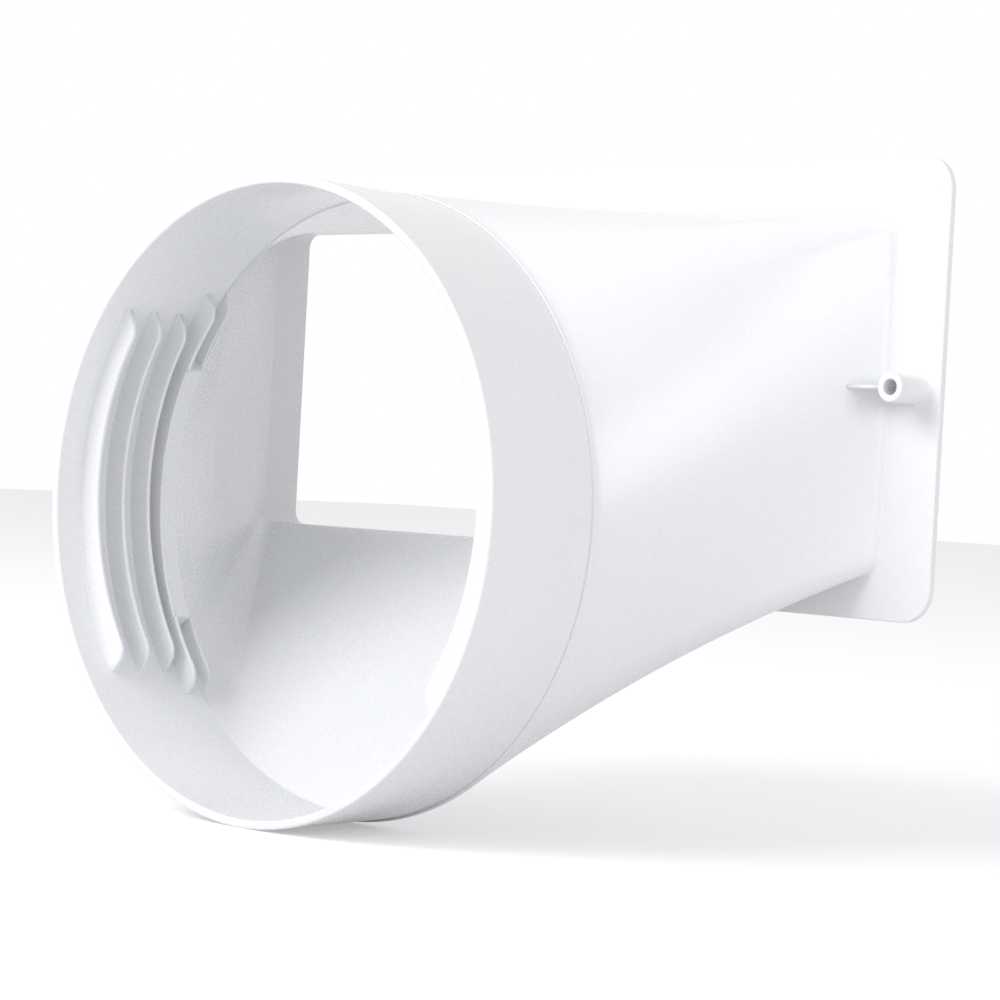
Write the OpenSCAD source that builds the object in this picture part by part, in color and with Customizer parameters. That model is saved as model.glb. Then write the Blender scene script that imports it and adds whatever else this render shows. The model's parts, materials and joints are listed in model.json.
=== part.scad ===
// Exhaust hose adapter: a round screw-in hose collar that blends into a flat window duct.
// The mouth of the collar is at Y = 0 and the air flows towards +Y, out through the window.

/* [Hose collar] */
// Outer radius of the collar at its mouth
collar_r = 78; // [70:0.5:84]
// Wall thickness of the collar
collar_wall = 2.2; // [1.6:0.1:3]
// Length of the collar, from the mouth to the start of the duct
collar_length = 35; // [34:0.5:44]
// How much the outside of the collar narrows over its length
collar_taper = 0.9; // [0.4:0.1:1.2]

/* [Hose thread] */
// Height of the thread blades above the collar wall
thread_height = 6.2; // [3:0.1:8]
// Depth gained by the thread in one turn
thread_pitch = 8.3; // [7:0.1:9]
// Number of blades one behind the other on each side
thread_rows = 3; // [1:1:3]
// Depth of the middle of the first blade on the left side
thread_start = 8.3; // [7.5:0.1:9]
// Thickness of a blade at its foot
thread_foot = 1.8; // [1.2:0.1:2.4]
// Thickness of a blade at its crest
thread_crest = 1.1; // [0.6:0.1:1.2]
// Half of the angle that each blade covers
thread_half_angle = 37.5; // [25:0.5:42]

/* [Hose stop] */
// Depth of the front face of the ramp that stops the hose
stop_depth = 29; // [28.6:0.1:30]
// Half of the angle that the ramp covers
ramp_half_angle = 27.5; // [15:0.5:32]
// Depth at which the ramp runs out into the side wall
ramp_end = 64; // [55:1:75]
// Half of the angle that the two stop ribs cover
stop_half_angle = 43; // [36:0.5:44]
// Distance from the front of the ramp to the middle of the second stop rib
stop_rib_gap = 7.6; // [7:0.1:9]

/* [Duct] */
// Outer width of the flat duct at the flange
duct_width = 219.8; // [190:0.2:225]
// Outer height of the flat duct at the flange
duct_height = 87; // [76:0.5:92]
// Height of the top of the duct above the collar axis
duct_top = 77; // [68:0.5:80]
// Wall thickness of the duct
duct_wall = 2.2; // [1.6:0.1:2.6]
// Corner radius of the duct at the flange
duct_corner = 5.8; // [4:0.1:9]
// Early rise of the duct floor, 0 for a straight ramp
duct_rise = 0.28; // [0:0.02:0.4]

/* [Window flange] */
// Distance from the mouth to the front face of the flange
flange_depth = 100; // [90:1:120]
// Width of the flange
flange_width = 250; // [246:1:280]
// Height of the flange
flange_height = 110; // [108:1:130]
// Thickness of the flange
flange_thickness = 2; // [1.6:0.1:3]
// Corner radius of the flange
flange_corner = 8; // [4:0.5:12]
// Height of the middle of the flange above the collar axis
flange_lift = 34.8; // [34:0.2:36]

/* [Window spigot] */
// Length of the spigot behind the front face of the flange
spigot_length = 12.6; // [8:0.2:30]
// Step in the inner wall where the spigot starts
spigot_step = 0.3; // [0.1:0.05:0.5]

/* [Screw bosses] */
// Distance between the two screw holes
boss_spacing = 236.8; // [236:0.2:238]
// Outer diameter of a boss
boss_d = 7; // [6:0.1:7.4]
// Diameter of the screw hole
screw_d = 3.8; // [2.5:0.1:4.4]
// Height of a boss in front of the flange
boss_height = 11; // [6:0.5:14]
// Thickness of the web that ties a boss to the duct
web_thickness = 1; // [0.8:0.1:2]

/* [Hidden] */

// Clearance by which cutters pass the faces that they open
cut = 1;
// Overlap by which joined forms run into each other
join = 0.9;
// Radius that a blade's crest keeps inside the wall where the blade has run out
blade_hide = 0.3;
// Angle over which the end of a blade runs out
blade_runout = 4;
// Number of steps along a blade
blade_steps = 14;

bore_r = collar_r - collar_wall;
collar_end_r = collar_r - collar_taper;
duct_start_r = collar_end_r + 0.6;
duct_bottom = duct_top - duct_height;
boss_lift = flange_lift;
duct_lap = 1;
collar_lap = 0.7;
inner_start = collar_length - duct_lap + 0.25;
start_depth = 0.4;
start_skin = 0.6;
ramp_draft = 0.4;
tiny = 0.001;
corner_angle = 8.8;
corner_steps = 5;
side_steps = 10;
loft_steps = 10;
ramp_steps = 8;
stop_height = thread_height;
front_rib_height = stop_height - 0.4;
front_rib_depth = stop_depth + thread_foot / 2 + 0.15;
rear_rib_depth = stop_depth + stop_rib_gap;
rear_rib_height = stop_height - 1.8;

// Share of the way from the round to the flat end, with the floor rising early
function rise(s) = s + duct_rise * s * (1 - s);

// Middle of corner k of the flat end, k = 0 at the upper right and counter-clockwise
function corner_middle(k) =
    let (x = duct_width / 2 - duct_corner, up = duct_top - duct_corner)
    let (down = duct_bottom + duct_corner)
    [(k == 0 || k == 3) ? x : -x, (k == 0 || k == 1) ? up : down];

// Point of the rounded corner k at the angle a
function corner_point(k, a, inset) =
    corner_middle(k) + (duct_corner - inset) * [cos(a), sin(a)];

// Point of the flat end that belongs to the angle a of the round end
function flat_point(a, inset) =
    let (b = (a - 45 + corner_angle + 720) % 360, k = floor(b / 90), c = b - 90 * k)
    let (next = (k + 1) % 4, t = (c - 2 * corner_angle) / (90 - 2 * corner_angle))
    c <= 2 * corner_angle
        ? corner_point(k, 90 * k + 90 * c / (2 * corner_angle), inset)
        : (1 - t) * corner_point(k, 90 * k + 90, inset) + t * corner_point(next, 90 * k + 90, inset);

// Point of the duct skin at the angle a and the depth y, moved inwards by inset
function duct_point(a, y, inset) =
    let (s = max(0, min(1, (y - collar_length) / (flange_depth - collar_length))))
    let (round_end = (duct_start_r - inset) * [cos(a), sin(a)], flat_end = flat_point(a, inset))
    [(1 - s) * round_end.x + s * flat_end.x, y, (1 - rise(s)) * round_end.y + rise(s) * flat_end.y];

// The same point moved towards the collar axis by a distance
function duct_point_in(a, y, distance) =
    let (p = duct_point(a, y, duct_wall), r = norm([p.x, p.z]), scale_in = 1 - distance / r)
    [p.x * scale_in, y, p.z * scale_in];

// Height of the hose ramp at the angle a and the depth y, on the left and on the right
function ramp_height(a, y) =
    let (off_level = min(abs(a % 180), 180 - abs(a % 180)))
    off_level > ramp_half_angle + tiny || y > ramp_end
        ? 0
        : stop_height * (ramp_end - y) / (ramp_end - stop_depth);

// Inner point of the duct skin, ramps included
function inner_point(a, y) = duct_point_in(a, y, ramp_height(a, y));

// Point inside the collar wall, or on the ramp, where the duct solid starts within the collar
function start_point(a, y) =
    let (deep = -(bore_r + start_depth - (duct_start_r - duct_wall)))
    duct_point_in(a, y, ramp_height(a, y) > 0 ? ramp_height(a, y) : deep);

// Angles from the middle of a side to the points on it, closer together at the edges of a ramp
function side_angles(has_ramp) =
    let (reach = 45 - corner_angle, foot = ramp_half_angle + ramp_draft)
    has_ramp
        ? concat([-(foot + reach) / 2, -foot],
            [for (i = [0:ramp_steps]) ramp_half_angle * (2 * i / ramp_steps - 1)],
            [foot, (foot + reach) / 2])
        : [for (i = [1:side_steps - 1]) reach * (2 * i / side_steps - 1)];

// Angles of the points round one section of the duct, starting at its upper right corner
function section_angles() =
    [for (k = [0:3]) each concat(
        [for (i = [0:corner_steps]) 45 + 90 * k + corner_angle * (2 * i / corner_steps - 1)],
        [for (offset = side_angles(k % 2 == 1)) 90 + 90 * k + offset])];

// The four-sided patches between two neighbouring rings j and k of n points, as triangles
function patches(j, k, n) =
    [for (i = [0:n - 1]) each [
        [j * n + i, j * n + (i + 1) % n, k * n + i],
        [j * n + (i + 1) % n, k * n + (i + 1) % n, k * n + i]]];

// Closed solid through a stack of rings of points, with a flat face at each end
module skin(rings) {
    n = len(rings[0]);
    m = len(rings);
    sides = [for (j = [0:m - 2]) each patches(j, j + 1, n)];
    near_end = [[for (i = [0:n - 1]) n - 1 - i]];
    far_end = [[for (i = [0:n - 1]) (m - 1) * n + i]];
    polyhedron([for (r = rings) each r], concat(sides, near_end, far_end), convexity = 10);
}

// Hollow solid through a stack of rings of points whose last ring joins the first
module closed_skin(rings) {
    n = len(rings[0]);
    m = len(rings);
    polyhedron([for (r = rings) each r], [for (j = [0:m - 1]) each patches(j, (j + 1) % m, n)],
        convexity = 10);
}

// Round-to-flat duct with its two hose ramps as one hollow solid; it starts hidden in the collar
module duct_shell() {
    span = flange_depth - collar_length;
    angles = section_angles();
    depths = concat(
        [for (i = [0:loft_steps]) collar_length + span * i / loft_steps],
        [flange_depth + duct_lap / 2]);
    hidden_r = bore_r + start_depth + start_skin;
    outer = concat(
        [for (y = [stop_depth, collar_length - duct_lap])
            [for (a = angles) [hidden_r * cos(a), y, hidden_r * sin(a)]]],
        [for (y = concat([collar_length - duct_lap], depths)) [for (a = angles) duct_point(a, y, 0)]]);
    inner = concat(
        [for (y = [stop_depth, inner_start]) [for (a = angles) start_point(a, y)]],
        [for (y = concat([inner_start], depths)) [for (a = angles) inner_point(a, y)]]);
    closed_skin(concat(outer, [for (i = [len(inner) - 1:-1:0]) inner[i]]));
}

// Plate with rounded corners that stands in the XZ plane and grows towards +Y
module rounded_plate(width, height, corner, thickness, lift) {
    translate([0, 0, lift])
        rotate([90, 0, 0])
            translate([0, 0, -thickness])
                linear_extrude(thickness) {
                    square([width - 2 * corner, height], center = true);
                    square([width, height - 2 * corner], center = true);
                    for (x = [-1, 1])
                        for (z = [-1, 1])
                            translate([x * (width / 2 - corner), z * (height / 2 - corner)])
                                circle(r = corner, $fn = 64);
                }
}

// Cylinder along +Y that starts at the depth y
module post(r_near, r_far, y, length) {
    translate([0, y, 0])
        rotate([-90, 0, 0])
            cylinder(r1 = r_near, r2 = r_far, h = length, $fn = 180);
}

// Flat rectangular section of the duct and the spigot, grown or shrunk by inset
module duct_plate(y, thickness, inset) {
    translate([0, y, 0])
        rounded_plate(
            duct_width - 2 * inset, duct_height - 2 * inset, duct_corner - inset, thickness,
            duct_top - duct_height / 2);
}

// Share of its full height that a blade has at a given angular distance from a free end
function end_share(distance) =
    let (left = max(0, min(1, distance / blade_runout)))
    sqrt(1 - (1 - left) * (1 - left));

// One arc-shaped blade on the inner wall from the angle a0 to a1; lead is its depth gain in a turn.
// A free end runs out into the wall, and any other end keeps its full height.
module blade(a0, a1, depth, lead, height, free_start = true, free_end = true) {
    skin([for (i = [0:blade_steps])
        let (a = a0 + (a1 - a0) * i / blade_steps, y = depth + lead * (a - (a0 + a1) / 2) / 360)
        let (share = min(free_start ? end_share(a - a0) : 1, free_end ? end_share(a1 - a) : 1))
        let (crest = (height + blade_hide) * share - blade_hide)
        [
            duct_point_in(a, y - thread_foot / 2, -join),
            duct_point_in(a, y - thread_crest / 2, crest),
            duct_point_in(a, y + thread_crest / 2, crest),
            duct_point_in(a, y + thread_foot / 2, -join)
        ]]);
}

// Interrupted left-handed thread: blades on the left and, half a turn nearer the mouth, on the right
module thread_blades() {
    for (row = [0:thread_rows - 1])
        for (half_turn = [0, 1])
            blade(180 * (1 - half_turn) - thread_half_angle, 180 * (1 - half_turn) + thread_half_angle,
                thread_start + (row - half_turn / 2) * thread_pitch, thread_pitch, thread_height);
}

// Pair of ribs that run on above and below the ramp, from the angle a0 to a1
module stop_ribs(a0, a1, upper) {
    for (rib = [[front_rib_depth, front_rib_height], [rear_rib_depth, rear_rib_height]])
        blade(a0, a1, rib[0], 0, rib[1], upper, !upper);
}

// Ribs above and below the ramp of the left wall
module hose_stop_ribs() {
    buried = ramp_half_angle - 2;
    stop_ribs(180 - stop_half_angle, 180 - buried, true);
    stop_ribs(180 + buried, 180 + stop_half_angle, false);
}

// Screw boss on the right of the flange, with the web that ties it to the duct
module screw_boss() {
    web_start = flange_depth - boss_height + 1;
    boss_x = boss_spacing / 2;
    translate([boss_x, 0, boss_lift])
        post(boss_d / 2, boss_d / 2, flange_depth - boss_height, boss_height + flange_thickness / 2);
    translate([0, 0, boss_lift - web_thickness / 2])
        linear_extrude(web_thickness)
            polygon([
                [duct_point(0, web_start, join).x, web_start],
                [boss_x, web_start],
                [boss_x, flange_depth + flange_thickness / 2],
                [duct_point(0, flange_depth, join).x, flange_depth + flange_thickness / 2]
            ]);
}

// Round tube that the hose screws into
module collar() {
    difference() {
        post(collar_r, collar_end_r, 0, collar_length - duct_lap + collar_lap);
        post(bore_r, bore_r, -cut, collar_length + 2 * cut);
    }
}

// Flange, spigot and screw bosses, with the air opening and the screw holes
module window_end() {
    difference() {
        union() {
            translate([0, flange_depth, 0])
                rounded_plate(flange_width, flange_height, flange_corner, flange_thickness, flange_lift);
            duct_plate(flange_depth + flange_thickness / 2, spigot_length - flange_thickness / 2, 0);
            for (side = [0, 1])
                mirror([side, 0, 0])
                    screw_boss();
        }
        duct_plate(flange_depth - cut, spigot_length + 2 * cut, duct_wall - spigot_step);
        for (side = [-1, 1])
            translate([side * boss_spacing / 2, 0, boss_lift])
                post(screw_d / 2, screw_d / 2, flange_depth - boss_height - cut,
                    boss_height + flange_thickness + 2 * cut);
    }
}

module adapter_body() {
    color("white") {
        collar();
        duct_shell();
        window_end();
        thread_blades();
        for (side = [0, 1])
            mirror([side, 0, 0])
                hose_stop_ribs();
    }
}

adapter_body();
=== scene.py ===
import json
import math

import bmesh
import bpy
import numpy as np
from mathutils import Matrix, Vector


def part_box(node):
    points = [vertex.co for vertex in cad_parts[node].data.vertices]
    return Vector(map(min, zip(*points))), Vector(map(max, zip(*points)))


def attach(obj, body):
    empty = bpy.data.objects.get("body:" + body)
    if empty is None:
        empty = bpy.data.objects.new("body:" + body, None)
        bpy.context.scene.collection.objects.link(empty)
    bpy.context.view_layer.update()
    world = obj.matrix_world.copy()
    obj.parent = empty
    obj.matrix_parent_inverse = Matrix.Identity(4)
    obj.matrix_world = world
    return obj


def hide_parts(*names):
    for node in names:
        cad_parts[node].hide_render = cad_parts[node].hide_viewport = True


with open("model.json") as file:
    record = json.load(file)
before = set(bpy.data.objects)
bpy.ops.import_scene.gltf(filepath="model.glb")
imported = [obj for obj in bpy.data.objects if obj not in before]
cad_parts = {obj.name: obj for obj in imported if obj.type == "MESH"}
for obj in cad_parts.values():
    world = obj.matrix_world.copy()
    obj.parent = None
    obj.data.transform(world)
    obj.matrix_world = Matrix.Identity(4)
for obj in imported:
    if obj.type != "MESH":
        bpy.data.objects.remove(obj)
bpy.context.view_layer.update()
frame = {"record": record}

# Looks of the window exhaust hose adapter: one white glossy moulding on a pale studio floor.
# Sizes are in millimetres in the frame of the part, and MM turns them into metres.
MM = 0.001

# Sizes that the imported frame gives
mounts = {mount["name"]: mount for mount in frame["record"]["mounts"]}
body_low, body_high = (np.array(corner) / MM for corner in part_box("adapter_body"))
SCREW_X = mounts["flange_screws"]["dims"]["spacing_x_mm"] / 2
SCREW_R = mounts["flange_screws"]["dims"]["hole_r_mm"]
SCREW_Z = mounts["flange_screws"]["pos_m"][2] / MM
FLANGE_FRONT = mounts["flange_screws"]["pos_m"][1] / MM
FLANGE_BACK = mounts["flange_face"]["pos_m"][1] / MM
FLANGE_HALF_WIDTH = body_high[0]
FLANGE_TOP = body_high[2]
SPIGOT_END = body_high[1]

# Hose collar
COLLAR_R = 78.0
COLLAR_END_R = 77.1
COLLAR_WALL = 2.2
COLLAR_STEP = 34.0
DUCT_START = 35.0
DUCT_START_R = 77.7
BORE_R = COLLAR_R - COLLAR_WALL

# Duct, flange and spigot
DUCT_HALF_WIDTH = 109.9
DUCT_HEIGHT = 87.0
DUCT_TOP = 77.0
DUCT_WALL = 2.2
DUCT_CORNER = 5.8
DUCT_RISE = 0.28
SPIGOT_WALL = 1.9
SPIGOT_STEP = FLANGE_FRONT + 0.5
FLANGE_HEIGHT = 110.0
FLANGE_CORNER = 8.0

# Hose thread and hose stop
THREAD_PITCH = 8.3
THREAD_ROWS = 3
THREAD_START = 8.3
THREAD_HALF_ANGLE = 37.5
BLADE_HEIGHT = 6.2
BLADE_FOOT = 1.8
BLADE_CREST = 1.1
STOP_DEPTH = 29.0
RAMP_END = 64.0
RAMP_HALF_ANGLE = 27.5
STOP_HALF_ANGLE = 43.0
FRONT_RIB_DEPTH = 30.05
FRONT_RIB_HEIGHT = 5.8
REAR_RIB_DEPTH = 36.6
REAR_RIB_HEIGHT = 4.4

# Screw bosses
BOSS_R = 3.5
BOSS_TIP = FLANGE_FRONT - 11.0
WEB_START = BOSS_TIP + 1.0
WEB_THICKNESS = 1.0

# Radii that a mould leaves on edges and in corners
RIM_ROUND = 0.55
EDGE_ROUND = 0.4
CORNER_FILLET = 0.8
BLADE_FILLET = 0.5
STEP_ROUND = 0.15

# Angle of the round end that one corner of the flat end takes up, to each side
CORNER_ANGLE = 8.8
CORNER_STEPS = 12
SIDE_STEPS = 56
ROUND_STEPS = 5

# Camera, fitted to the photograph
CAMERA_AZIMUTH = 43.61
CAMERA_ELEVATION = 0.62
CAMERA_ROLL = 3.11
CAMERA_DISTANCE = 729.7
FOCAL_PIXELS = 3063.3
FRAME_PIXELS = 1000.0
MOUTH_PIXEL = (255.7, 501.3)
SENSOR_WIDTH = 36.0


def quarter(steps=ROUND_STEPS):
    """Sines and cosines of the angles of a quarter turn."""
    turn = np.linspace(0, math.pi / 2, steps + 1)
    return list(zip(np.sin(turn), np.cos(turn)))


def side_offsets(has_ramp):
    """Angles from the middle of a side to its columns, closer together at the edges of a ramp."""
    reach = 45 - CORNER_ANGLE
    offsets = set(np.round(np.linspace(-reach, reach, SIDE_STEPS + 1)[1:-1], 3))
    if has_ramp:
        edge = np.linspace(-0.7, 0.7, 9)
        near = [sign * (RAMP_HALF_ANGLE + e) for sign in (-1, 1) for e in edge]
        offsets = {o for o in offsets if abs(abs(o) - RAMP_HALF_ANGLE) > 1.0} | set(near)
    return sorted(offsets)


def section_columns():
    """For each column of the skin: its angle, the corner it belongs to and its share along it."""
    columns = []
    for corner in range(4):
        for i in range(CORNER_STEPS + 1):
            share = i / CORNER_STEPS
            angle = 45 + 90 * corner + CORNER_ANGLE * (2 * share - 1)
            columns.append((angle, corner, share, True))
        reach = 45 - CORNER_ANGLE
        for offset in side_offsets(corner % 2 == 1):
            columns.append((90 + 90 * corner + offset, corner, (offset / reach + 1) / 2, False))
    return columns


COLUMNS = section_columns()
ANGLES = np.radians([column[0] for column in COLUMNS])
ROUND_UNIT = np.stack([np.cos(ANGLES), np.sin(ANGLES)], axis=1)
OFF_LEVEL = np.degrees(np.abs((ANGLES + math.pi / 2) % math.pi - math.pi / 2))


def rectangle(half_width, low, high, corner_r):
    """Rounded rectangle in X and Z with one point for each column."""
    x = half_width - corner_r
    top, bottom = high - corner_r, low + corner_r
    middles = np.array([[x, top], [-x, top], [-x, bottom], [x, bottom]])

    def corner_point(corner, share):
        turn = math.radians(90 * corner + 90 * share)
        return middles[corner % 4] + corner_r * np.array([math.cos(turn), math.sin(turn)])

    points = []
    for _, corner, share, in_corner in COLUMNS:
        if in_corner:
            points.append(corner_point(corner, share))
        else:
            start, end = corner_point(corner, 1), corner_point((corner + 1) % 4, 0)
            points.append((1 - share) * start + share * end)
    return np.array(points)


def duct_rectangle(inset):
    """Flat end of the duct, moved inwards by inset."""
    return rectangle(DUCT_HALF_WIDTH - inset, DUCT_TOP - DUCT_HEIGHT + inset, DUCT_TOP - inset,
                     DUCT_CORNER - inset)


def flange_rectangle(inset):
    """Outline of the flange, moved inwards by inset."""
    return rectangle(FLANGE_HALF_WIDTH - inset, FLANGE_TOP - FLANGE_HEIGHT + inset,
                     FLANGE_TOP - inset, FLANGE_CORNER - inset)


def duct_section(depth, inset):
    """Section of the duct at a depth, between the round and the flat end, moved inwards."""
    share = min(1.0, max(0.0, (depth - DUCT_START) / (FLANGE_FRONT - DUCT_START)))
    early = share + DUCT_RISE * share * (1 - share)
    round_end = (DUCT_START_R - inset) * ROUND_UNIT
    flat_end = duct_rectangle(inset)
    x = (1 - share) * round_end[:, 0] + share * flat_end[:, 0]
    z = (1 - early) * round_end[:, 1] + early * flat_end[:, 1]
    return np.stack([x, z], axis=1)


def moved_in(section, distance):
    """Section whose points are moved towards the collar axis by a distance for each point."""
    reach = np.linalg.norm(section, axis=1)
    return section * ((reach - distance) / reach)[:, None]


def smooth(share):
    """Soft step from 0 to 1."""
    share = np.clip(share, 0, 1)
    return share * share * (3 - 2 * share)


def ramp_height(depth):
    """Height of the hose ramp above the inner skin in each column at a depth."""
    along = max(0.0, (RAMP_END - depth) / (RAMP_END - STOP_DEPTH))
    across = smooth((RAMP_HALF_ANGLE + 0.7 - OFF_LEVEL) / 1.2)
    return BLADE_HEIGHT * along * across


def outer_rings():
    """Rings of the outside from the inner edge of the mouth to the end of the spigot."""
    rings = []
    for s, c in quarter():
        rings.append((RIM_ROUND * (1 - s), (BORE_R + RIM_ROUND * (1 - c)) * ROUND_UNIT))
    for s, c in quarter():
        rings.append((RIM_ROUND * (1 - c), (COLLAR_R - RIM_ROUND * (1 - s)) * ROUND_UNIT))
    taper = (COLLAR_R - COLLAR_END_R) / COLLAR_STEP
    for depth in np.linspace(2, COLLAR_STEP, 12):
        rings.append((depth, (COLLAR_R - taper * depth) * ROUND_UNIT))
    for s, c in quarter(3):
        rings.append((COLLAR_STEP + STEP_ROUND * (1 - c), (DUCT_START_R - STEP_ROUND * (1 - s)) * ROUND_UNIT))
    for depth in np.linspace(DUCT_START, FLANGE_FRONT - CORNER_FILLET, 44):
        rings.append((depth, duct_section(depth, 0)))
    for s, c in quarter()[1:]:
        depth = FLANGE_FRONT - CORNER_FILLET * (1 - s)
        rings.append((depth, duct_rectangle(-CORNER_FILLET * (1 - c))))
    for s, c in quarter():
        rings.append((FLANGE_FRONT + EDGE_ROUND * (1 - c), flange_rectangle(EDGE_ROUND * (1 - s))))
    for s, c in quarter():
        rings.append((FLANGE_BACK - EDGE_ROUND * (1 - s), flange_rectangle(EDGE_ROUND * (1 - c))))
    for s, c in quarter():
        rings.append((FLANGE_BACK + EDGE_ROUND * (1 - c), duct_rectangle(-EDGE_ROUND * (1 - s))))
    for s, c in quarter():
        rings.append((SPIGOT_END - EDGE_ROUND * (1 - s), duct_rectangle(EDGE_ROUND * (1 - c))))
    return rings


def inner_rings():
    """Rings of the inside from the end of the spigot back to the mouth, with both hose ramps."""
    rings = []
    for s, c in quarter():
        rings.append((SPIGOT_END - EDGE_ROUND * (1 - c), duct_rectangle(SPIGOT_WALL - EDGE_ROUND * (1 - s))))
    for depth in np.linspace(SPIGOT_END - 1, SPIGOT_STEP + STEP_ROUND, 4):
        rings.append((depth, duct_rectangle(SPIGOT_WALL)))
    for s, c in quarter(3):
        rings.append((SPIGOT_STEP - STEP_ROUND * (1 - c), duct_section(FLANGE_FRONT, DUCT_WALL - STEP_ROUND * (1 - s))))
    for depth in np.linspace(FLANGE_FRONT, DUCT_START, 44):
        skin = duct_section(depth, DUCT_WALL)
        rings.append((depth, moved_in(skin, ramp_height(depth))))
    for depth in np.linspace(DUCT_START - STEP_ROUND, COLLAR_STEP, 4):
        rings.append((depth, collar_ring(depth, 1.0)))
    for depth in np.linspace(COLLAR_STEP - 0.5, STOP_DEPTH + EDGE_ROUND, 6):
        rings.append((depth, collar_ring(depth, 1.0)))
    for s, c in quarter():
        rings.append((STOP_DEPTH + EDGE_ROUND * (1 - s), collar_ring(STOP_DEPTH, 1 - 0.06 * (1 - c))))
    for s, c in quarter():
        rings.append((STOP_DEPTH - EDGE_ROUND * (1 - c), collar_ring(STOP_DEPTH, 0.06 * (1 - s))))
    for depth in np.linspace(STOP_DEPTH - 1, 2, 12):
        rings.append((depth, BORE_R * ROUND_UNIT))
    return rings


def collar_ring(depth, share):
    """Ring of the collar's inside, where the ramps stand up to a share of their height."""
    skin_r = DUCT_START_R - DUCT_WALL
    height = ramp_height(depth)
    on_ramp = np.clip(height, 0, BORE_R - skin_r) + height
    return moved_in(BORE_R * ROUND_UNIT, on_ramp * share)


def add_skin(bm, rings, closed_path=True):
    """Adds a skin of four-sided faces through rings of points; the last ring joins the first."""
    grid = []
    for depth, section in rings:
        grid.append([bm.verts.new(Vector((x, depth, z)) * MM) for x, z in section])
    count = len(grid)
    n = len(grid[0])
    for j in range(count if closed_path else count - 1):
        near, far = grid[j], grid[(j + 1) % count]
        for i in range(n):
            bm.faces.new((near[i], near[(i + 1) % n], far[(i + 1) % n], far[i]))
    return grid


def wall_point(angle, depth, height):
    """Point above the inner wall at an angle and a depth, by its height towards the axis."""
    share = min(1.0, max(0.0, (depth - DUCT_START) / (FLANGE_FRONT - DUCT_START)))
    turn = math.radians(angle)
    unit = np.array([math.cos(turn), math.sin(turn)])
    round_point = (DUCT_START_R - DUCT_WALL) * unit
    if share == 0:
        point = round_point
    else:
        skin = duct_section(depth, DUCT_WALL)
        nearest = np.array([np.interp(angle % 360, COLUMN_ANGLES, skin[COLUMN_ORDER, axis], period=360)
                            for axis in (0, 1)])
        point = nearest
    reach = np.linalg.norm(point)
    x, z = point * (reach - height) / reach
    return Vector((x, depth, z)) * MM


COLUMN_ORDER = np.argsort(np.degrees(ANGLES) % 360)
COLUMN_ANGLES = (np.degrees(ANGLES) % 360)[COLUMN_ORDER]


def blade_profile(height, foot, crest, base):
    """Outline of a blade across its run: depth offset and height, with a filleted foot."""
    fillet = min(BLADE_FILLET, max(0.02, (height - base) * 0.4))
    top = min(crest / 2 * 0.9, max(0.02, (height - base) * 0.4))
    half = [(-foot / 2 - fillet - 0.3, base - 0.5)]
    for s, c in quarter(4):
        half.append((-foot / 2 - fillet * (1 - s), base - 0.02 + fillet * (1 - c)))
    for s, c in quarter(4):
        half.append((-crest / 2 + top * (1 - c), height - top * (1 - s)))
    return half + [(-offset, level) for offset, level in reversed(half)]


def end_share(distance, runout):
    """Share of its full height that a blade has near a free end."""
    left = min(1.0, max(0.0, distance / runout))
    return math.sqrt(1 - (1 - left) ** 2)


def add_blade(bm, start, end, depth, lead, height, base, free_start=True, free_end=True, runout=4.0,
              steps=64):
    """Adds one arc-shaped blade on the inner wall that runs out at its free ends."""
    rows = []
    middle = (start + end) / 2
    for i in range(steps + 1):
        angle = start + (end - start) * i / steps
        share = min(end_share(angle - start, runout) if free_start else 1,
                    end_share(end - angle, runout) if free_end else 1)
        here = depth + lead * (angle - middle) / 360
        crest_level = base - 0.1 + (height - base + 0.1) * share
        outline = blade_profile(crest_level, BLADE_FOOT, BLADE_CREST, base)
        rows.append([bm.verts.new(wall_point(angle, here + offset, level)) for offset, level in outline])
    n = len(rows[0])
    for near, far in zip(rows, rows[1:]):
        for k in range(n):
            bm.faces.new((near[k], far[k], far[(k + 1) % n], near[(k + 1) % n]))
    bm.faces.new(reversed(rows[0][::-1]))
    bm.faces.new(rows[-1][::-1])


def add_thread(bm):
    """Adds the interrupted left-handed thread, left and right half a turn apart."""
    base = DUCT_START_R - DUCT_WALL - BORE_R
    for row in range(THREAD_ROWS):
        for half_turn in (0, 1):
            middle = 180 * (1 - half_turn)
            depth = THREAD_START + (row - half_turn / 2) * THREAD_PITCH
            add_blade(bm, middle - THREAD_HALF_ANGLE, middle + THREAD_HALF_ANGLE, depth, THREAD_PITCH,
                      BLADE_HEIGHT, base)


def add_stop_ribs(bm):
    """Adds the two ribs above and the two ribs below the ramp on each side."""
    base = DUCT_START_R - DUCT_WALL - BORE_R
    for side in (0, 180):
        for depth, height, foot_level in ((FRONT_RIB_DEPTH, FRONT_RIB_HEIGHT, base),
                                          (REAR_RIB_DEPTH, REAR_RIB_HEIGHT, 0.0)):
            add_blade(bm, side - STOP_HALF_ANGLE, side - RAMP_HALF_ANGLE + 2, depth, 0, height, foot_level,
                      True, False, steps=24)
            add_blade(bm, side + RAMP_HALF_ANGLE - 2, side + STOP_HALF_ANGLE, depth, 0, height, foot_level,
                      False, True, steps=24)


def add_lathe(bm, outline, middle, closed=True, steps=64):
    """Adds a turned form about an axis along Y through middle, from (radius, depth) points."""
    rows = []
    for radius, depth in outline:
        row = []
        for i in range(steps):
            turn = 2 * math.pi * i / steps
            row.append(bm.verts.new(Vector((middle[0] + radius * math.cos(turn), depth,
                                            middle[1] + radius * math.sin(turn))) * MM))
        rows.append(row)
    pairs = list(zip(rows, rows[1:] + rows[:1])) if closed else list(zip(rows, rows[1:]))
    for near, far in pairs:
        for i in range(steps):
            bm.faces.new((near[i], far[i], far[(i + 1) % steps], near[(i + 1) % steps]))


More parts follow.
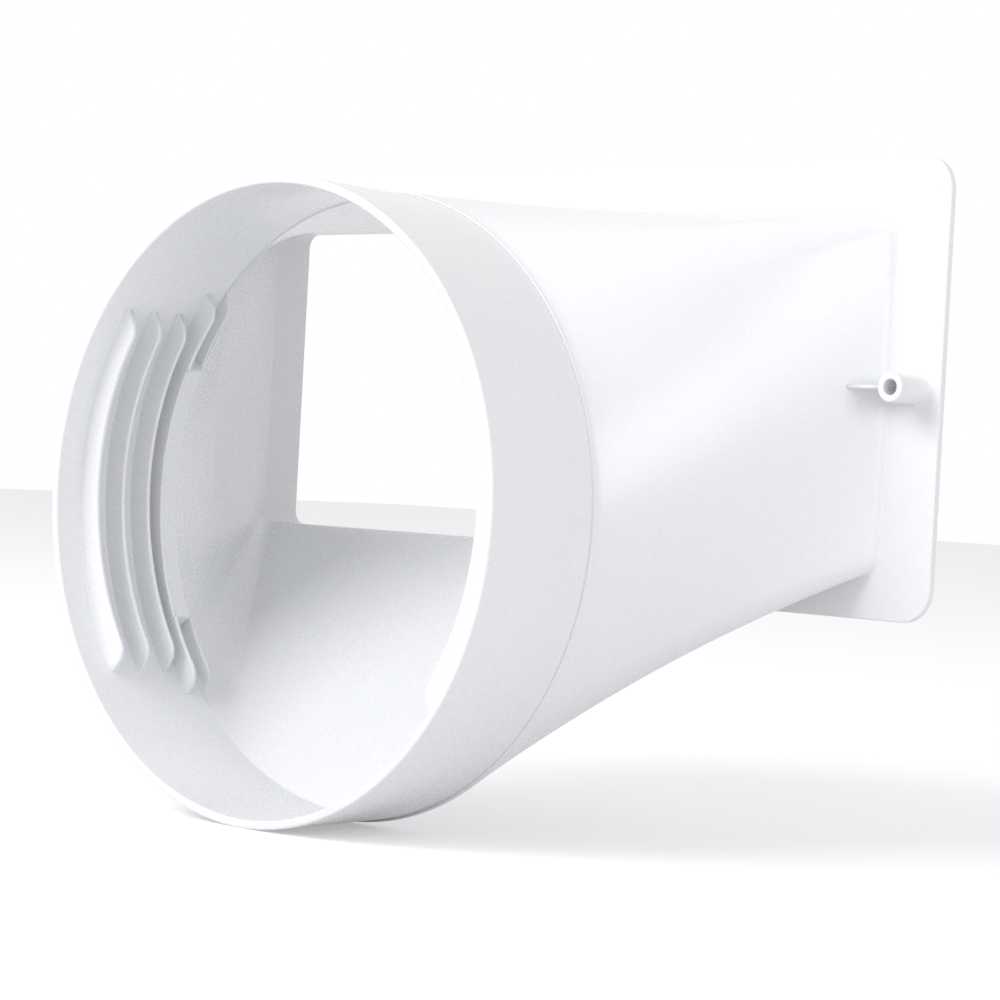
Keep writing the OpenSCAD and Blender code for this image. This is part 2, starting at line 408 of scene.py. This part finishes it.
def boss_outline():
    """Section of a screw boss: a filleted foot, a rounded tip and the screw hole."""
    outline = [(BOSS_R + CORNER_FILLET, FLANGE_FRONT + 0.5)]
    for s, c in quarter():
        outline.append((BOSS_R + CORNER_FILLET * (1 - s), FLANGE_FRONT + 0.02 - CORNER_FILLET * (1 - c)))
    for s, c in quarter(4):
        outline.append((BOSS_R - 0.3 * (1 - c), BOSS_TIP + 0.3 * (1 - s)))
    for s, c in quarter(4):
        outline.append((SCREW_R + 0.25 * (1 - s), BOSS_TIP + 0.25 * (1 - c)))
    outline.append((SCREW_R, FLANGE_BACK - 0.5))
    return outline


def add_bosses(bm):
    """Adds both screw bosses and the webs that tie them to the duct."""
    for side in (-1, 1):
        add_lathe(bm, boss_outline(), (side * SCREW_X, SCREW_Z))
        add_web(bm, side)


def add_web(bm, side):
    """Adds the thin web between a screw boss and the duct, with rounded front edge."""
    front_x = duct_side_x(WEB_START)
    back_x = duct_side_x(FLANGE_FRONT)
    outline = [(front_x - 0.9, WEB_START), (SCREW_X - SCREW_R - 0.4, WEB_START),
               (SCREW_X - SCREW_R - 0.4, FLANGE_FRONT + 0.5), (back_x - 0.9, FLANGE_FRONT + 0.5)]
    layers = []
    half = WEB_THICKNESS / 2
    for z, shrink in ((-half, 0.25), (-half + 0.25, 0.0), (half - 0.25, 0.0), (half, 0.25)):
        layers.append([bm.verts.new(Vector((side * x, y + (shrink if y == WEB_START else 0), SCREW_Z + z)) * MM)
                       for x, y in outline])
    bm.faces.new(layers[0])
    bm.faces.new(layers[-1][::-1])
    for low, high in zip(layers, layers[1:]):
        for i in range(4):
            bm.faces.new((low[i], low[(i + 1) % 4], high[(i + 1) % 4], high[i]))


def duct_side_x(depth):
    """Half of the duct's outer width at a depth, at the height of the screws."""
    section = duct_section(depth, 0)
    right = section[:, 0] > 0
    order = np.argsort(section[right][:, 1])
    return float(np.interp(SCREW_Z, section[right][order, 1], section[right][order, 0]))


def new_object(name, bm):
    """Turns mesh data into a linked object with smooth faces."""
    bmesh.ops.recalc_face_normals(bm, faces=bm.faces)
    mesh = bpy.data.meshes.new(name)
    bm.to_mesh(mesh)
    bm.free()
    for polygon in mesh.polygons:
        polygon.use_smooth = True
    made = bpy.data.objects.new(name, mesh)
    bpy.context.scene.collection.objects.link(made)
    return made


def cut_screw_holes(target):
    """Cuts both screw holes through the flange."""
    bm = bmesh.new()
    for side in (-1, 1):
        outline = [(0.001, FLANGE_FRONT - 3), (SCREW_R + 0.01, FLANGE_FRONT - 3),
                   (SCREW_R + 0.01, FLANGE_BACK + 3), (0.001, FLANGE_BACK + 3)]
        add_lathe(bm, outline, (side * SCREW_X, SCREW_Z), closed=True)
    cutter = new_object("hole_cutter", bm)
    modifier = target.modifiers.new("holes", "BOOLEAN")
    modifier.operation = "DIFFERENCE"
    modifier.solver = "EXACT"
    modifier.object = cutter
    bpy.context.view_layer.objects.active = target
    bpy.ops.object.modifier_apply(modifier=modifier.name)
    bpy.data.objects.remove(cutter)


def build_adapter():
    """Builds the whole moulding as one object."""
    bm = bmesh.new()
    add_skin(bm, outer_rings() + inner_rings())
    shell = new_object("adapter_moulding", bm)
    cut_screw_holes(shell)
    bm = bmesh.new()
    bm.from_mesh(shell.data)
    add_thread(bm)
    add_stop_ribs(bm)
    add_bosses(bm)
    bmesh.ops.recalc_face_normals(bm, faces=bm.faces)
    bm.to_mesh(shell.data)
    bm.free()
    for polygon in shell.data.polygons:
        polygon.use_smooth = True
    weighted = shell.modifiers.new("flat_faces_stay_flat", "WEIGHTED_NORMAL")
    weighted.weight = 60
    return shell


def white_plastic():
    """Satin-gloss white moulded plastic with faint cloudiness and a fine moulded grain."""
    material = bpy.data.materials.new("white_plastic")
    material.use_nodes = True
    nodes, links = material.node_tree.nodes, material.node_tree.links
    shader = nodes["Principled BSDF"]
    shader.inputs["IOR"].default_value = 1.49
    place = nodes.new("ShaderNodeTexCoord")

    cloud = nodes.new("ShaderNodeTexNoise")
    cloud.inputs["Scale"].default_value = 22
    cloud.inputs["Detail"].default_value = 3
    links.new(place.outputs["Object"], cloud.inputs["Vector"])
    tint = nodes.new("ShaderNodeValToRGB")
    tint.color_ramp.elements[0].position = 0.3
    tint.color_ramp.elements[0].color = (0.855, 0.866, 0.888, 1)
    tint.color_ramp.elements[1].position = 0.7
    tint.color_ramp.elements[1].color = (0.872, 0.881, 0.9, 1)
    links.new(cloud.outputs["Fac"], tint.inputs["Fac"])
    links.new(tint.outputs["Color"], shader.inputs["Base Color"])

    grain = nodes.new("ShaderNodeTexNoise")
    grain.inputs["Scale"].default_value = 1600
    grain.inputs["Detail"].default_value = 2
    links.new(place.outputs["Object"], grain.inputs["Vector"])
    gloss = nodes.new("ShaderNodeMapRange")
    gloss.inputs["To Min"].default_value = 0.22
    gloss.inputs["To Max"].default_value = 0.32
    links.new(grain.outputs["Fac"], gloss.inputs["Value"])
    links.new(gloss.outputs["Result"], shader.inputs["Roughness"])

    ripple = nodes.new("ShaderNodeTexNoise")
    ripple.inputs["Scale"].default_value = 35
    ripple.inputs["Detail"].default_value = 1
    links.new(place.outputs["Object"], ripple.inputs["Vector"])
    wave_bump = nodes.new("ShaderNodeBump")
    wave_bump.inputs["Strength"].default_value = 0.5
    wave_bump.inputs["Distance"].default_value = 0.0003
    links.new(ripple.outputs["Fac"], wave_bump.inputs["Height"])
    grain_bump = nodes.new("ShaderNodeBump")
    grain_bump.inputs["Strength"].default_value = 0.15
    grain_bump.inputs["Distance"].default_value = 0.00003
    links.new(grain.outputs["Fac"], grain_bump.inputs["Height"])
    links.new(wave_bump.outputs["Normal"], grain_bump.inputs["Normal"])
    links.new(grain_bump.outputs["Normal"], shader.inputs["Normal"])
    return material


def seen_by_eye(nodes, links):
    """Light Path value that is 1 for camera, mirror and glass rays."""
    path = nodes.new("ShaderNodeLightPath")
    first = nodes.new("ShaderNodeMath")
    first.operation = "MAXIMUM"
    links.new(path.outputs["Is Camera Ray"], first.inputs[0])
    links.new(path.outputs["Is Glossy Ray"], first.inputs[1])
    second = nodes.new("ShaderNodeMath")
    second.operation = "MAXIMUM"
    links.new(first.outputs[0], second.inputs[0])
    links.new(path.outputs["Is Transmission Ray"], second.inputs[1])
    return second.outputs[0]


def build_world(level):
    """White surroundings that light the object at a plain level."""
    world = bpy.data.worlds.new("studio")
    bpy.context.scene.world = world
    world.use_nodes = True
    nodes, links = world.node_tree.nodes, world.node_tree.links
    background = nodes["Background"]
    background.inputs["Color"].default_value = (1, 1, 1, 1)
    strength = nodes.new("ShaderNodeMapRange")
    strength.inputs["To Min"].default_value = level
    strength.inputs["To Max"].default_value = 1.0
    links.new(seen_by_eye(nodes, links), strength.inputs["Value"])
    links.new(strength.outputs["Result"], background.inputs["Strength"])


def build_floor(height):
    """Pale floor that looks white where the object's shadow doesn't fall."""
    bm = bmesh.new()
    bmesh.ops.create_grid(bm, x_segments=8, y_segments=8, size=4.0)
    for vert in bm.verts:
        vert.co.z = height * MM
    floor = new_object("studio_floor", bm)
    material = bpy.data.materials.new("floor_paper")
    material.use_nodes = True
    nodes, links = material.node_tree.nodes, material.node_tree.links
    shader = nodes["Principled BSDF"]
    shader.inputs["Base Color"].default_value = (0.8, 0.8, 0.81, 1)
    shader.inputs["Roughness"].default_value = 0.9
    shader.inputs["Specular IOR Level"].default_value = 0.0
    glow = nodes.new("ShaderNodeMapRange")
    glow.inputs["To Min"].default_value = 0.0
    glow.inputs["To Max"].default_value = 0.35
    links.new(seen_by_eye(nodes, links), glow.inputs["Value"])
    shader.inputs["Emission Color"].default_value = (1, 1, 1, 1)
    links.new(glow.outputs["Result"], shader.inputs["Emission Strength"])
    floor.data.materials.append(material)
    return floor


def build_softbox(name, place, target, width, height, power):
    """Rectangular studio lamp that faces a point; sizes in metres, power in watts."""
    data = bpy.data.lights.new(name, "AREA")
    data.shape = "RECTANGLE"
    data.size = width
    data.size_y = height
    data.energy = power
    lamp = bpy.data.objects.new(name, data)
    bpy.context.scene.collection.objects.link(lamp)
    lamp.location = place
    lamp.rotation_euler = (Vector(target) - Vector(place)).to_track_quat("-Z", "Y").to_euler()
    return lamp


def build_camera():
    """Camera at the photograph's viewing angle, found by fitting the collar, duct and flange."""
    azimuth, elevation, roll = (math.radians(a) for a in (CAMERA_AZIMUTH, CAMERA_ELEVATION, CAMERA_ROLL))
    forward = Vector((-math.sin(azimuth) * math.cos(elevation), math.cos(azimuth) * math.cos(elevation),
                      -math.sin(elevation)))
    level = Vector((math.cos(azimuth), math.sin(azimuth), 0))
    upright = level.cross(forward)
    right = math.cos(roll) * level + math.sin(roll) * upright
    up = math.cos(roll) * upright - math.sin(roll) * level
    pixel = CAMERA_DISTANCE / FOCAL_PIXELS
    across = (MOUTH_PIXEL[0] - FRAME_PIXELS / 2) * pixel
    down = (MOUTH_PIXEL[1] - FRAME_PIXELS / 2) * pixel
    place = -across * right + down * up - CAMERA_DISTANCE * forward
    data = bpy.data.cameras.new("photo_camera")
    data.sensor_width = SENSOR_WIDTH
    data.lens = SENSOR_WIDTH * FOCAL_PIXELS / FRAME_PIXELS
    data.clip_start = 0.01
    camera = bpy.data.objects.new("photo_camera", data)
    bpy.context.scene.collection.objects.link(camera)
    turn = Matrix((right, up, -forward)).transposed().to_4x4()
    camera.matrix_world = Matrix.Translation(place * MM) @ turn
    bpy.context.scene.camera = camera


build_camera()
adapter = build_adapter()
adapter.data.materials.append(white_plastic())
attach(adapter, "root")
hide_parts("adapter_body")

build_floor(body_low[2])
build_world(0.62)
build_softbox("key_softbox", (-0.6, -1.6, 1.2), (0, 0.05, 0), 1.4, 1.0, 26)
build_softbox("side_softbox", (2.0, -0.4, 0.5), (0, 0.05, 0), 0.8, 0.8, 8)
bpy.context.scene.view_settings.view_transform = "Standard"
